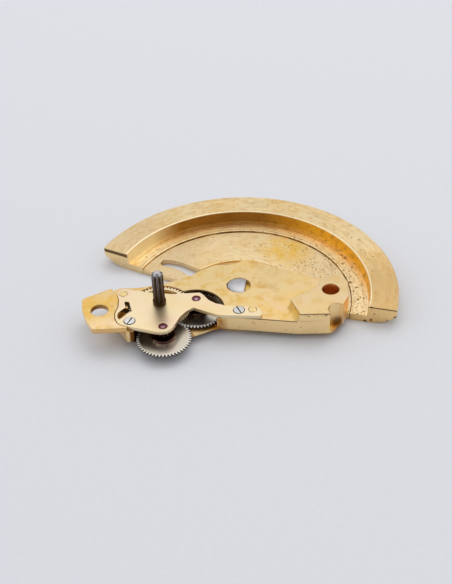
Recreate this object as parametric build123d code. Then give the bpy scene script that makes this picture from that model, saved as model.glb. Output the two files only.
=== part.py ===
from build123d import *
import math
import os

# Automatic winding assembly of a wrist watch, upside down as it lies on a bench.
# The rotor rests on its flat face. Above it sits the winding frame with two
# reversing wheels, a driving wheel and a small train bridge. Millimetres, Z up,
# origin on the rotor axis in the plane of the rotor's resting face.

os.makedirs("parts", exist_ok=True)

# Train: teeth, spacing and fits
reverser_teeth = 48
driving_teeth = 54
small_pinion_teeth = 12
tall_pinion_teeth = 8
train_pitch = 4.18
driving_distance_share = 0.70574
axis_angle = -151.76
second_angle = -128.98
tooth_share = 0.44
tip_share = 0.62
addendum_share = 1.1
dedendum_share = 1.25
wheel_room = 0.10
driving_room = 0.04
bridge_room = 0.05
pivot_clearance = 0.015
running_clearance = 0.03
cut_over = 0.4

# Heights, from the resting face up
plate_thickness = 0.50
web_thickness = 0.25
ledge_step = 0.14
air_gap = 0.06
floor_thickness = 0.18
wheel_gap = 0.06
wheel_thickness = 0.18
ratchet_height = 0.14
cover_height = 0.20
driving_gap = 0.32
driving_thickness = 0.18
bridge_gap = 0.06
roof_thickness = 0.18
bridge_thickness = 0.31
ear_root = 0.13
ear_gap = 0.09
pad_height = 0.76
pinion_height = 3.1

# Rotor
rim_width = 2.37
rim_clearance = 0.46
rim_draft = 0.09
ledge_width = 1.40
rim_edge = 0.75
under_width = 2.30
rotor_left_angle = 151.3
rotor_right_angle = -17.2
recess_radius = 5.10
web_radius = 3.60
edge_break = 0.04
corner_round = 0.05
ear_round = 0.45
bridge_round = 0.10
soft_turn_angle = 20

# Bearing and axle
axle_radius = 0.50
race_outer_radius = 1.40
inner_race_share = 0.456
race_gap_share = 0.267
groove_depth_share = 0.125
cage_height = 0.25
ball_count = 5
race_height = 0.52
race_seat = 0.18
race_lip = 0.14
sleeve_wall = 0.34
gear_seat = 0.14
gear_band = 0.15
flange_width = 0.86
flange_thickness = 0.16
head_radius = 0.93
head_room = 0.03
head_depth = 0.42
head_flat = 0.53
head_flat_angle = -9.3
head_rise = 0.14
spacer_radius = 0.78
bolt_head_radius = 0.82
bolt_head_height = 0.14
bolt_lift = 0.02
bolt_radius = 0.24
bolt_length = 0.72
slot_width = 0.09
slot_depth = 0.07

# Frame
neck_clearance = 0.20
relief_clearance = 0.06
hole_radius = 0.71
foot_hole_radius = 0.70
window_radius = 0.66
window_low_radius = 0.55
opening_radius = 2.40
lobe_radius = 0.95
gear_room = 0.13
notch_radius = 0.74
notch_floor = 0.44
scoop_radius = 0.55
scoop_floor = 0.34
ramp_width = 0.30
ramp_over_share = 0.2
ramp_hollow_share = 0.28

# Bridge, screws, pins and jewels
screw_head_radius = 0.44
screw_head_height = 0.15
screw_head_proud = 0.03
screw_radius = 0.20
screw_length = 0.62
left_slot_angle = 62
right_slot_angle = -68
pin_radius = 0.32
pin_stem_radius = 0.26
pin_length = 0.60
pin_proud = 0.02
jewel_radius = 0.34
jewel_thickness = 0.20
jewel_sunk = 0.05
jewel_cup_radius = 0.22
jewel_cup_depth = 0.08
pivot_radius = 0.075
driving_jewel_radius = 0.28

# Reversing wheels
arbor_radius = 0.16
ratchet_radius = 0.42
ratchet_teeth = 10
ratchet_cut_share = 0.78
ring_radius = 0.98
ring_bore = 0.74
ring_notches = 6
ring_notch_width = 0.16
ring_notch_depth = 0.07
cover_radius = 0.95
cover_bow = 0.05
click_thickness = 0.09
click_width = 0.13
click_gap = 0.02
click_heel_angle = 12
click_reach_angle = 44
click_eye_share = 0.8
post_radius = 0.06
post_place = 0.60

# Driving wheel and tall pinion
driving_bore = 0.30
driving_band = 0.20
driving_hub_radius = 0.62
spoke_width = 0.22
spoke_count = 4
collar_radius = 0.54
collar_height = 0.28
tall_radius = 0.47
tall_root = 0.33
tall_tip_height = 0.22

# Tables of places: shares of train_pitch, x then y, from the rotor axis
frame_shares = [(-2.608, -0.108), (-2.333, 0.053), (-1.962, 0.048), (-1.722, 0.091), (-1.483, 0.148),
                (-1.232, 0.232), (-0.921, 0.368), (-0.742, 0.522), (-0.455, 0.679), (-0.239, 0.656),
                (-0.048, 0.706), (0.144, 0.799), (0.335, 0.770), (0.490, 0.684), (0.854, 0.450),
                (1.220, 0.268), (1.531, 0.100), (2.010, 0.024), (2.100, -0.287), (2.072, -0.694),
                (1.938, -0.945), (1.746, -1.160), (1.651, -1.196), (1.053, -1.172), (0.407, -1.057),
                (-0.191, -0.950), (-0.419, -0.923), (-0.598, -0.986), (-0.789, -1.077), (-0.993, -1.163),
                (-1.196, -1.100), (-1.914, -1.100), (-1.986, -1.237), (-2.165, -1.237), (-2.679, -1.237)]
ear_shares = [(-2.249, -0.010), (-2.493, -0.030), (-3.046, -0.313), (-3.016, -0.640), (-2.925, -0.950),
              (-2.790, -1.236), (-2.040, -1.237), (-2.060, -1.020)]
step_shares = [(-3.110, 0.000), (-2.478, 0.048), (-2.448, -0.171), (-2.348, -0.227), (-2.200, -0.260),
               (-2.135, -0.700), (-2.135, -1.300), (-3.110, -1.300)]
pad_shares = [(1.572, -0.160), (2.000, 0.024), (2.100, -0.287), (2.072, -0.694), (1.938, -0.945),
              (1.746, -1.160), (1.651, -1.196), (1.105, -1.177), (1.053, -0.957), (0.957, -0.730),
              (1.536, -0.344)]
bridge_shares = [(0.352, -0.802), (0.400, -0.868), (0.412, -0.975), (0.376, -1.052), (0.287, -1.048),
                 (-0.239, -0.998), (-0.445, -0.965), (-0.670, -0.840), (-0.897, -0.715), (-1.029, -0.813),
                 (-1.150, -0.975), (-1.225, -1.150), (-1.292, -1.290), (-1.390, -1.375), (-1.500, -1.395),
                 (-1.620, -1.370), (-2.057, -1.215), (-2.250, -1.135), (-2.325, -1.070), (-2.375, -0.930),
                 (-2.380, -0.770), (-2.330, -0.600), (-2.325, -0.400), (-2.362, -0.220), (-2.330, -0.095),
                 (-2.221, -0.055), (-2.000, -0.118), (-1.770, -0.190), (-1.310, -0.275), (-1.070, -0.272),
                 (-0.758, -0.268), (-0.695, -0.339), (-0.596, -0.502), (-0.469, -0.610), (-0.295, -0.685),
                 (-0.144, -0.706)]
view_shares = [(-2.215, -0.441), (-2.125, -0.477), (-2.066, -0.751), (-2.144, -0.784), (-2.259, -0.940),
               (-2.298, -0.967), (-2.329, -0.901), (-2.325, -0.777), (-2.229, -0.659), (-2.181, -0.633)]
slot_shares = [(-1.579, 1.244), (-1.531, 1.344), (-1.411, 1.344), (-1.175, 1.263), (-0.969, 1.115),
               (-0.770, 0.971), (-0.789, 0.622), (-0.971, 0.766), (-1.053, 0.854), (-1.175, 0.978),
               (-1.340, 1.091), (-1.524, 1.153)]
front_shares = [(-0.450, -0.718), (-0.450, -1.100), (-1.244, -1.435), (-1.244, -0.837)]
opening_share = (-0.870, -0.653)
window_share = (-2.182, -0.722)
window_low_share = (-2.206, -0.849)
left_screw_share = (-2.096, -1.029)
right_screw_share = (-0.026, -0.847)
left_pin_share = (-2.244, -0.211)
right_pin_share = (0.232, -0.849)
ear_hole_share = (-2.682, -0.675)
foot_hole_share = (1.749, -0.474)
notch_share = (1.818, -1.084)

# Derived heights
plate_top = plate_thickness
ledge_top = plate_top + ledge_step
frame_under = plate_top + air_gap
floor_top = frame_under + floor_thickness
wheel_low = floor_top + wheel_gap
wheel_top = wheel_low + wheel_thickness
ring_top = wheel_top + ratchet_height
cover_top = ring_top + cover_height
driving_low = cover_top + driving_gap
driving_top = driving_low + driving_thickness
main_top = driving_top + bridge_gap
roof_low = main_top - roof_thickness
bridge_top = main_top + bridge_thickness
ear_low = main_top - ear_root
rim_top = ear_low - ear_gap
pad_top = main_top + pad_height
pinion_top = bridge_top + pinion_height
relief_top = ledge_top + relief_clearance
driving_floor = driving_low - wheel_room
gear_roof = wheel_top + wheel_gap

# Derived bearing sizes: the balls fill the gap between the races
race_section = race_outer_radius - axle_radius
race_inner_radius = axle_radius + race_section * inner_race_share
race_gap = race_section * race_gap_share
ball_pitch_radius = race_inner_radius + race_gap / 2
ball_radius = race_gap * (0.5 + groove_depth_share)
race_bore = race_inner_radius + race_gap
gear_bore = race_outer_radius + sleeve_wall - gear_seat

# Derived train geometry: the rotor gear has the teeth that its seat on the sleeve needs
reverser_module = train_pitch / reverser_teeth
rotor_gear_teeth = math.ceil(2 * ((gear_bore + gear_band) / reverser_module + dedendum_share))
driving_distance = train_pitch * driving_distance_share
driving_module = 2 * driving_distance / (driving_teeth + small_pinion_teeth)
first_distance = reverser_module * (reverser_teeth + rotor_gear_teeth) / 2
reverser_tip = reverser_module * (reverser_teeth / 2 + addendum_share)
rotor_gear_tip = reverser_module * (rotor_gear_teeth / 2 + addendum_share)
driving_tip = driving_module * (driving_teeth / 2 + addendum_share)
pocket_radius = reverser_tip + gear_room
driving_pocket_radius = driving_tip + driving_room
gear_pocket_radius = rotor_gear_tip + gear_room


def turned(distance, angle, start=(0, 0)):
    a = math.radians(angle)
    return (start[0] + distance * math.cos(a), start[1] + distance * math.sin(a))


def heading(start, end):
    return math.degrees(math.atan2(end[1] - start[1], end[0] - start[0]))


first_axis = turned(first_distance, axis_angle)
second_axis = turned(train_pitch, second_angle, first_axis)
half_pitch = train_pitch / 2
driving_lean = math.degrees(math.acos(half_pitch / driving_distance))
driving_axis = turned(driving_distance, second_angle - driving_lean, first_axis)
if driving_axis[0] > second_axis[0] + train_pitch:
    driving_axis = turned(driving_distance, second_angle + driving_lean, first_axis)

# Derived rotor sizes: the rim clears the outer reversing wheel
rim_foot_radius = math.hypot(*second_axis) + reverser_tip + rim_clearance
rim_wall_radius = rim_foot_radius + rim_draft
rotor_radius = rim_foot_radius + rim_width
ledge_radius = rim_foot_radius - ledge_width
neck_radius = rim_foot_radius - neck_clearance


def place(share):
    return (share[0] * train_pitch, share[1] * train_pitch)


def corner_cut(before, corner, after, rounding):
    # start, middle and end of the arc that rounds a corner, or the corner alone
    inward = Vector(*corner) - Vector(*before)
    onward = Vector(*after) - Vector(*corner)
    turn = inward.get_angle(onward)
    if turn < soft_turn_angle or rounding == 0:
        return [Vector(*corner)]
    setback = rounding * math.tan(math.radians(turn) / 2)
    start = Vector(*corner) - inward.normalized() * setback
    end = Vector(*corner) + onward.normalized() * setback
    inside = (start + end) * 0.5 - Vector(*corner)
    depth = rounding / math.cos(math.radians(turn) / 2) - rounding
    return [start, Vector(*corner) + inside.normalized() * depth, end]


def outline(shares, rounding=0.0):
    points = [place(share) for share in shares]
    cuts = []
    for k, corner in enumerate(points):
        cuts.append(corner_cut(points[k - 1], corner, points[(k + 1) % len(points)], rounding))
    edges = []
    for k, cut in enumerate(cuts):
        if len(cut) == 3:
            edges.append(ThreePointArc(*cut))
        edges.append(Line(cut[-1], cuts[(k + 1) % len(cuts)][0]))
    return make_face(edges)


def slab(face, low, high):
    return extrude(Pos(0, 0, low) * face, amount=high - low)


def disc(centre, radius, low, high):
    return slab(Pos(centre[0], centre[1], 0) * Circle(radius), low, high)


def ring(centre, outer, inner, low, high):
    return disc(centre, outer, low, high) - disc(centre, inner, low - cut_over, high + cut_over)


def one(shape):
    solids = shape.solids()
    return max(solids, key=lambda solid: solid.volume)


def gear_face(teeth, module, phase, centre, flat=1.0):
    root = module * (teeth / 2 - dedendum_share)
    tip = module * (teeth / 2 + addendum_share)
    pitch = module * teeth / 2
    step = 360 / teeth
    points = []
    for k in range(teeth):
        middle = phase + k * step
        half = step * tooth_share / 2
        points.append(turned(root, middle - half * (2 - tip_share), centre))
        points.append(turned(pitch, middle - half, centre))
        points.append(turned(tip, middle - half * tip_share * flat, centre))
        points.append(turned(tip, middle + half * tip_share * flat, centre))
        points.append(turned(pitch, middle + half, centre))
        points.append(turned(root, middle + half * (2 - tip_share), centre))
    return make_face(Polyline(*points, close=True))


def mating_phase(phase, teeth, other_teeth, direction):
    # a gap of the second gear stands where a tooth of the first one comes
    return direction + 180 - (phase - direction) * teeth / other_teeth + 180 / other_teeth


first_direction = heading((0, 0), first_axis)
between_direction = heading(first_axis, second_axis)
rotor_gear_phase = first_direction
first_phase = mating_phase(rotor_gear_phase, rotor_gear_teeth, reverser_teeth, first_direction)
second_phase = mating_phase(first_phase, reverser_teeth, reverser_teeth, between_direction)
driving_phase = heading(driving_axis, first_axis)
first_pinion_phase = mating_phase(driving_phase, driving_teeth, small_pinion_teeth,
                                  heading(driving_axis, first_axis))
second_pinion_phase = mating_phase(driving_phase, driving_teeth, small_pinion_teeth,
                                   heading(driving_axis, second_axis))


def sector(outer, inner, low, high):
    # the swing of the rotor between its two straight end faces
    reach = outer * 2
    span = rotor_left_angle - rotor_right_angle
    steps = [rotor_right_angle + span * k / 4 for k in range(5)]
    corners = [(0, 0)] + [turned(reach, a) for a in steps]
    wedge = slab(make_face(Polyline(*corners, close=True)), low, high)
    return ring((0, 0), outer, inner, low, high) & wedge


# Rotor

def make_rotor_rim():
    # heavy segment: flat top, steep inner wall, narrow ledge, bowed underside
    low_edge = rim_top - rim_edge
    inner_under = rotor_radius - under_width
    bow_radius = (under_width ** 2 + low_edge ** 2) / (2 * low_edge)
    half_bow = math.asin(under_width / bow_radius) / 2
    bow_middle = (inner_under + bow_radius * math.sin(half_bow), 0, bow_radius - bow_radius * math.cos(half_bow))
    bow = ThreePointArc((rotor_radius, 0, low_edge), bow_middle, (inner_under, 0, 0))
    straight = Polyline((inner_under, 0, 0), (ledge_radius, 0, 0), (ledge_radius, 0, ledge_top),
                        (rim_foot_radius, 0, ledge_top), (rim_wall_radius, 0, rim_top),
                        (rotor_radius - edge_break, 0, rim_top),
                        (rotor_radius, 0, rim_top - edge_break), (rotor_radius, 0, low_edge))
    section = make_face([bow, straight])
    span = rotor_left_angle - rotor_right_angle
    return Rot(0, 0, rotor_right_angle) * revolve(section, Axis.Z, span)


def make_rotor_plate():
    disc_part = sector(ledge_radius, axle_radius, 0, plate_top)
    hub_part = disc((0, 0), web_radius, 0, web_thickness)
    plate = disc_part - disc((0, 0), recess_radius, web_thickness, plate_top + cut_over) + hub_part
    plate -= disc((0, 0), race_outer_radius + sleeve_wall, -cut_over, plate_top)
    plate -= slab(outline(slot_shares, corner_round), -cut_over, plate_top + cut_over)
    return one(plate)


def make_rotor_hub():
    sleeve_low = race_outer_radius
    shoulder = sleeve_low + sleeve_wall
    flange_low = web_thickness
    hub = disc((0, 0), shoulder, 0, wheel_low)
    hub += disc((0, 0), shoulder + flange_width, flange_low, flange_low + flange_thickness)
    hub += disc((0, 0), gear_bore, wheel_low, wheel_top)
    hub -= disc((0, 0), race_outer_radius, race_seat, wheel_top + cut_over)
    hub -= disc((0, 0), race_outer_radius - race_lip, -cut_over, race_seat)
    return hub


def make_rotor_gear():
    face = gear_face(rotor_gear_teeth, reverser_module, rotor_gear_phase, (0, 0))
    return slab(face, wheel_low, wheel_top) - disc((0, 0), gear_bore, wheel_low - cut_over, wheel_top + cut_over)


def race_groove():
    middle = race_seat + race_height / 2
    section = Pos(ball_pitch_radius, 0, middle) * (Rot(90, 0, 0) * Circle(ball_radius + pivot_clearance))
    return revolve(section, Axis.Z)


def make_outer_race():
    body = ring((0, 0), race_outer_radius, race_bore, race_seat, race_seat + race_height)
    return body - race_groove()


def make_inner_race():
    body = ring((0, 0), race_inner_radius, axle_radius, race_seat, race_seat + race_height)
    return body - race_groove()


def ball_places():
    return [turned(ball_pitch_radius, rotor_right_angle + 360 * k / ball_count) for k in range(ball_count)]


def make_ball(centre):
    return Pos(centre[0], centre[1], race_seat + race_height / 2) * Sphere(ball_radius)


def make_cage():
    # crown cage: a ring above the balls with open cups that hold them apart
    middle = race_seat + race_height / 2
    outer = race_bore - running_clearance
    cage = ring((0, 0), outer, race_inner_radius + running_clearance, middle, middle + cage_height)
    for centre in ball_places():
        cup = Pos(centre[0], centre[1], middle) * Sphere(ball_radius + running_clearance)
        cage -= cup
    return one(cage)


# Axle and its fixing

def make_axle():
    # domed head with a flat on one side, shank through the frame and the bearing
    seat = main_top - head_depth
    shank_low = race_seat
    head_top = main_top - head_room + head_rise
    dome_radius = (head_radius ** 2 + head_rise ** 2) / (2 * head_rise)
    head = disc((0, 0), head_radius, seat, head_top)
    dome = Pos(0, 0, head_top - dome_radius) * Sphere(dome_radius)
    head = head & dome
    flat_block = slab(Pos(head_flat + head_radius, 0, 0) * Rectangle(2 * head_radius, 2 * head_radius),
                      seat - cut_over, head_top + cut_over)
    head -= Rot(0, 0, head_flat_angle) * flat_block
    axle = head + disc((0, 0), axle_radius, shank_low, seat)
    return axle - disc((0, 0), bolt_radius, shank_low - cut_over, shank_low + bolt_length)


def make_spacer():
    return ring((0, 0), spacer_radius, axle_radius, race_seat + race_height, gear_roof)


def slotted(body, centre, top, radius, angle):
    groove = slab(Rectangle(2 * radius + cut_over, slot_width), top - slot_depth, top + cut_over)
    return body - Pos(centre[0], centre[1], 0) * Rot(0, 0, angle) * groove


def make_bearing_screw():
    # fixes the inner race from below, its slot faces down
    low = race_seat - bolt_head_height - bolt_lift
    screw = disc((0, 0), bolt_head_radius, low, race_seat)
    screw += disc((0, 0), bolt_radius, race_seat, race_seat + bolt_length)
    groove = slab(Rectangle(2 * bolt_head_radius + cut_over, slot_width), low - cut_over, low + slot_depth)
    return screw - Rot(0, 0, axis_angle) * groove


# Frame

def make_frame():
    body = slab(outline(frame_shares, corner_round), frame_under, main_top)
    lobe = disc(second_axis, lobe_radius, frame_under, floor_top)
    body += lobe
    body = body & disc((0, 0), neck_radius, frame_under, main_top)
    relief = ring((0, 0), 2 * rotor_radius, ledge_radius - relief_clearance * 2, frame_under - cut_over,
                  relief_top)
    body -= relief
    ear = outline(ear_shares, ear_round)
    body += slab(ear, ear_low, main_top)
    # the raised part of the ear runs up to the bridge's edge and lies flush with it
    raised = (ear & outline(step_shares, ear_round)) - offset(outline(bridge_shares, bridge_round), bridge_room)
    body += slab(raised, main_top, bridge_top)
    body += slab(outline(pad_shares, corner_round), main_top, pad_top)
    body += make_ramp()
    body -= disc(place(ear_hole_share), hole_radius, 0, pad_top + cut_over)
    body -= disc(place(foot_hole_share), foot_hole_radius, 0, pad_top + cut_over)
    body -= disc(place(notch_share), notch_radius, frame_under + notch_floor, pad_top + cut_over)
    body -= disc(place(notch_share), scoop_radius, frame_under + scoop_floor, pad_top + cut_over)
    body = body - frame_pockets()
    return one(body)


def make_ramp():
    # concave fillet that leads up to the raised pad on its left side
    far = Vector(*place(pad_shares[9]), main_top)
    near = Vector(*place(pad_shares[7]), main_top)
    along = far - near
    left = Vector(0, 0, 1).cross(along).normalized()
    plane = Plane(origin=near - along * ramp_over_share, x_dir=left, z_dir=along.normalized())
    hollow = ThreePointArc((0, pad_height), (ramp_width * ramp_hollow_share, pad_height * ramp_hollow_share),
                           (ramp_width, 0))
    section = make_face([hollow, Polyline((ramp_width, 0), (-ramp_width, 0), (-ramp_width, pad_height),
                                          (0, pad_height))])
    prism = extrude(plane * section, amount=along.length * (1 + ramp_over_share))
    return prism & slab(outline(frame_shares, corner_round), main_top, pad_top)


def frame_pockets():
    over = main_top + cut_over
    cuts = disc(first_axis, pocket_radius, floor_top, roof_low)
    cuts += disc(second_axis, pocket_radius, floor_top, over)
    cuts += disc(driving_axis, driving_pocket_radius, driving_floor, over)
    cuts += disc(place(opening_share), opening_radius, roof_low, over)
    cuts += disc(place(window_share), window_radius, driving_floor, over)
    cuts += disc(place(window_low_share), window_low_radius, driving_floor, over)
    cuts += slab(outline(front_shares), floor_top, over)
    cuts += disc((0, 0), gear_pocket_radius, frame_under - cut_over, gear_roof)
    cuts += disc((0, 0), axle_radius, frame_under, over)
    cuts += disc((0, 0), head_radius + running_clearance, main_top - head_depth, over)
    for axis in (first_axis, second_axis):
        cuts += disc(axis, jewel_radius, frame_under - cut_over, floor_top + cut_over)
    cuts += disc(driving_axis, driving_jewel_radius, driving_floor - jewel_thickness, driving_floor)
    for share in (left_screw_share, right_screw_share):
        cuts += disc(place(share), screw_radius, bridge_top - screw_head_height - screw_length, over)
    for share in (left_pin_share, right_pin_share):
        cuts += disc(place(share), pin_stem_radius, main_top - pin_length, over)
    return cuts


# Train bridge and what holds it

def make_bridge():
    body = slab(outline(bridge_shares, bridge_round), main_top, bridge_top)
    over = bridge_top + cut_over
    body -= slab(outline(view_shares, corner_round), main_top - cut_over, over)
    head_seat = bridge_top - screw_head_height
    for share in (left_screw_share, right_screw_share):
        body -= disc(place(share), screw_radius, main_top - cut_over, over)
        body -= disc(place(share), screw_head_radius + pivot_clearance, head_seat, over)
    for share in (left_pin_share, right_pin_share):
        body -= disc(place(share), pin_radius, main_top - cut_over, over)
    for axis in (first_axis, second_axis):
        body -= disc(axis, jewel_radius, main_top - cut_over, over)
    body -= disc(driving_axis, driving_bore + running_clearance, main_top - cut_over, over)
    return one(body)


def make_bridge_screw(share, angle):
    top = bridge_top + screw_head_proud
    seat = bridge_top - screw_head_height
    screw = disc(place(share), screw_head_radius, seat, top)
    screw += disc(place(share), screw_radius, seat - screw_length, seat)
    return slotted(screw, place(share), top, screw_head_radius, angle)


def make_steady_pin(share):
    pin = disc(place(share), pin_stem_radius, main_top - pin_length, main_top)
    return pin + disc(place(share), pin_radius, main_top, bridge_top + pin_proud)


def make_jewel(centre, radius, low, high, cup_up):
    jewel = disc(centre, radius, low, high)
    jewel -= disc(centre, pivot_radius + pivot_clearance, low - cut_over, high + cut_over)
    if cup_up:
        cup = Pos(centre[0], centre[1], high - jewel_cup_depth / 2) * Cone(
            pivot_radius + pivot_clearance, jewel_cup_radius, jewel_cup_depth)
    else:
        cup = Pos(centre[0], centre[1], low + jewel_cup_depth / 2) * Cone(
            jewel_cup_radius, pivot_radius + pivot_clearance, jewel_cup_depth)
    return jewel - cup


# Reversing wheels

def make_reverser_wheel(axis, phase):
    wheel = slab(gear_face(reverser_teeth, reverser_module, phase, axis), wheel_low, wheel_top)
    wheel -= disc(axis, arbor_radius + pivot_clearance, wheel_low - cut_over, wheel_top + cut_over)
    for turn in (0, 180):
        post = turned(post_place, phase + turn, axis)
        wheel += disc(post, post_radius, wheel_top, ring_top)
    return wheel


def make_click(axis, phase):
    # a curved pawl on its post, its tip rides on the ratchet
    outer = ring_bore - click_gap
    inner = outer - click_width
    low = wheel_top
    body = ring(axis, outer, inner, low, low + click_thickness)
    reach = 2 * ring_bore
    wedge = make_face(Polyline(axis, turned(reach, phase - click_heel_angle, axis), turned(reach, phase, axis),
                               turned(reach, phase + click_reach_angle, axis), close=True))
    body = body & slab(wedge, low, low + click_thickness)
    body += disc(turned(post_place, phase, axis), click_width * click_eye_share, low, low + click_thickness)
    tip = ratchet_radius + click_gap
    beak = make_face(Polyline(turned(tip, phase + click_reach_angle, axis),
                              turned(inner + click_gap, phase + click_reach_angle / 2, axis),
                              turned(inner + click_gap, phase + click_reach_angle, axis), close=True))
    body += slab(beak, low, low + click_thickness)
    body -= disc(turned(post_place, phase, axis), post_radius, low - cut_over, ring_top)
    return one(body)


def make_click_ring(axis, phase):
    body = ring(axis, ring_radius, ring_bore, wheel_top, ring_top)
    for k in range(ring_notches):
        angle = phase + 360 * (k + 0.5) / ring_notches
        spot = turned(ring_radius, angle, axis)
        notch = slab(Rectangle(2 * ring_notch_depth, ring_notch_width), wheel_top - cut_over,
                     ring_top + cut_over)
        body -= Pos(spot[0], spot[1], 0) * Rot(0, 0, angle) * notch
    return body


def make_cover(axis):
    body = disc(axis, cover_radius, ring_top, cover_top)
    body = chamfer(body.edges().group_by(Axis.Z)[-1], cover_bow)
    return body - disc(axis, arbor_radius + running_clearance, ring_top - cut_over, cover_top + cut_over)


def make_reverser_arbor(axis, phase, pinion_phase):
    pivot_low = frame_under + jewel_cup_depth / 2
    ratchet_low = wheel_top + click_gap
    ratchet_top = ratchet_low + click_thickness
    arbor = disc(axis, pivot_radius, pivot_low, bridge_top - jewel_sunk)
    arbor += disc(axis, arbor_radius, floor_top + pivot_clearance, main_top - pivot_clearance)
    arbor += slab(ratchet_face(axis, phase), ratchet_low, ratchet_top)
    leaves = gear_face(small_pinion_teeth, driving_module, pinion_phase, axis)
    arbor += slab(leaves, driving_low - running_clearance, driving_top + running_clearance)
    return arbor


def ratchet_face(axis, phase):
    points = []
    step = 360 / ratchet_teeth
    for k in range(ratchet_teeth):
        points.append(turned(ratchet_radius, phase + k * step, axis))
        points.append(turned(ratchet_radius * ratchet_cut_share, phase + k * step + step / 8, axis))
    return make_face(Polyline(*points, close=True))


# Driving wheel and the tall pinion that leaves the assembly

def make_driving_wheel():
    face = gear_face(driving_teeth, driving_module, driving_phase, driving_axis)
    wheel = slab(face, driving_low, driving_top)
    wheel -= disc(driving_axis, driving_bore, driving_low - cut_over, driving_top + cut_over)
    # crossed out: four straight spokes between the hub and the toothed band
    band_radius = driving_module * (driving_teeth / 2 - dedendum_share) - driving_band
    gaps = Circle(band_radius) - Circle(driving_hub_radius)
    for k in range(spoke_count):
        spoke = Pos(band_radius / 2, 0) * Rectangle(band_radius, spoke_width)
        gaps -= Rot(0, 0, 360 * k / spoke_count + 180 / spoke_count) * spoke
    centre = Pos(driving_axis[0], driving_axis[1])
    return wheel - slab(centre * gaps, driving_low - cut_over, driving_top + cut_over)


def fluted_face(centre):
    points = []
    step = 360 / tall_pinion_teeth
    half = step * tooth_share / 2
    for k in range(tall_pinion_teeth):
        middle = k * step
        points.append(turned(tall_root, middle - half * (2 - tip_share), centre))
        points.append(turned(tall_radius, middle - half, centre))
        points.append(turned(tall_radius, middle + half, centre))
        points.append(turned(tall_root, middle + half * (2 - tip_share), centre))
    return make_face(Polyline(*points, close=True))


def make_driving_pinion():
    collar_low = bridge_top + running_clearance
    collar_top = collar_low + collar_height
    leaves_top = pinion_top - tall_tip_height
    arbor = disc(driving_axis, pivot_radius, driving_floor - jewel_thickness + jewel_cup_depth / 2, driving_low)
    arbor += disc(driving_axis, driving_bore, driving_floor + pivot_clearance, collar_low)
    arbor += disc(driving_axis, collar_radius, collar_low, collar_top)
    arbor += slab(fluted_face(driving_axis), collar_top, leaves_top)
    tip = Pos(driving_axis[0], driving_axis[1], leaves_top + tall_tip_height / 2) * Cone(
        tall_root, tall_root * tip_share, tall_tip_height)
    return arbor + tip


parts = {
    "auto_frame": make_frame(),
    "train_bridge": make_bridge(),
    "bridge_screw_left": make_bridge_screw(left_screw_share, left_slot_angle),
    "bridge_screw_right": make_bridge_screw(right_screw_share, right_slot_angle),
    "steady_pin_left": make_steady_pin(left_pin_share),
    "steady_pin_right": make_steady_pin(right_pin_share),
    "rotor_axle": make_axle(),
    "bearing_spacer": make_spacer(),
    "bearing_inner_race": make_inner_race(),
    "bearing_screw": make_bearing_screw(),
    "bearing_cage": make_cage(),
    "bearing_outer_race": make_outer_race(),
    "rotor_hub": make_rotor_hub(),
    "rotor_gear": make_rotor_gear(),
    "rotor_plate": make_rotor_plate(),
    "rotor_rim": make_rotor_rim(),
    "driving_wheel": make_driving_wheel(),
    "driving_pinion": make_driving_pinion(),
    "driving_jewel": make_jewel(driving_axis, driving_jewel_radius, driving_floor - jewel_thickness,
                                driving_floor, False),
}

for number, centre in enumerate(ball_places(), start=1):
    parts[f"bearing_ball_{number}"] = make_ball(centre)

for name, axis, phase, pinion_phase in (("a", first_axis, first_phase, first_pinion_phase),
                                        ("b", second_axis, second_phase, second_pinion_phase)):
    parts[f"reverser_{name}_wheel"] = make_reverser_wheel(axis, phase)
    parts[f"reverser_{name}_click_1"] = make_click(axis, phase)
    parts[f"reverser_{name}_click_2"] = make_click(axis, phase + 180)
    parts[f"reverser_{name}_ring"] = make_click_ring(axis, phase)
    parts[f"reverser_{name}_cover"] = make_cover(axis)
    parts[f"reverser_{name}_arbor"] = make_reverser_arbor(axis, phase, pinion_phase)
    parts[f"jewel_{name}_upper"] = make_jewel(axis, jewel_radius, bridge_top - jewel_sunk - jewel_thickness,
                                              bridge_top - jewel_sunk, True)
    parts[f"jewel_{name}_lower"] = make_jewel(axis, jewel_radius, frame_under, floor_top, False)

for node, shape in parts.items():
    export_step(shape, f"parts/{node}.step")

print("pieces", len(parts))
print("first", first_axis, "second", second_axis, "driving", driving_axis)
print("rotor radius", rotor_radius, "rim foot", rim_foot_radius, "ledge", ledge_radius)
print("bearing", race_inner_radius, race_bore, ball_pitch_radius, ball_radius, "rotor gear", rotor_gear_teeth)
print("levels", plate_top, ledge_top, frame_under, floor_top, wheel_low, main_top, bridge_top, rim_top)
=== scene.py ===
import bpy
import bmesh
import math
from mathutils import Matrix, Vector


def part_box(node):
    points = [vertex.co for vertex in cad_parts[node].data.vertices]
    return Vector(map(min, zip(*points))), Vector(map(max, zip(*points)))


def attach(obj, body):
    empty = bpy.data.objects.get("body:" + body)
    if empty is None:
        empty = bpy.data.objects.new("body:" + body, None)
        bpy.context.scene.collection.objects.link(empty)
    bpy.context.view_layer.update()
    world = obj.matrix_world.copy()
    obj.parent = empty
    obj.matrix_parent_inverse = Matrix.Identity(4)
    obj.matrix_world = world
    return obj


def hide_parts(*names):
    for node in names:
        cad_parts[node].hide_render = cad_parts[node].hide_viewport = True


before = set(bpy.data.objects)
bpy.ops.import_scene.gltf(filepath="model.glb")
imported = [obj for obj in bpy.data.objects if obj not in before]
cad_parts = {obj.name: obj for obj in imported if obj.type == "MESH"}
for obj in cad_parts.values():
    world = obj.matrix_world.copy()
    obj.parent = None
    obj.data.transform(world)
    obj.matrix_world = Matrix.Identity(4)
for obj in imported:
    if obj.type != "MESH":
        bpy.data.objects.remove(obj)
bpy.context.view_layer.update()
mm = 0.001


# small helpers for materials

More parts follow.
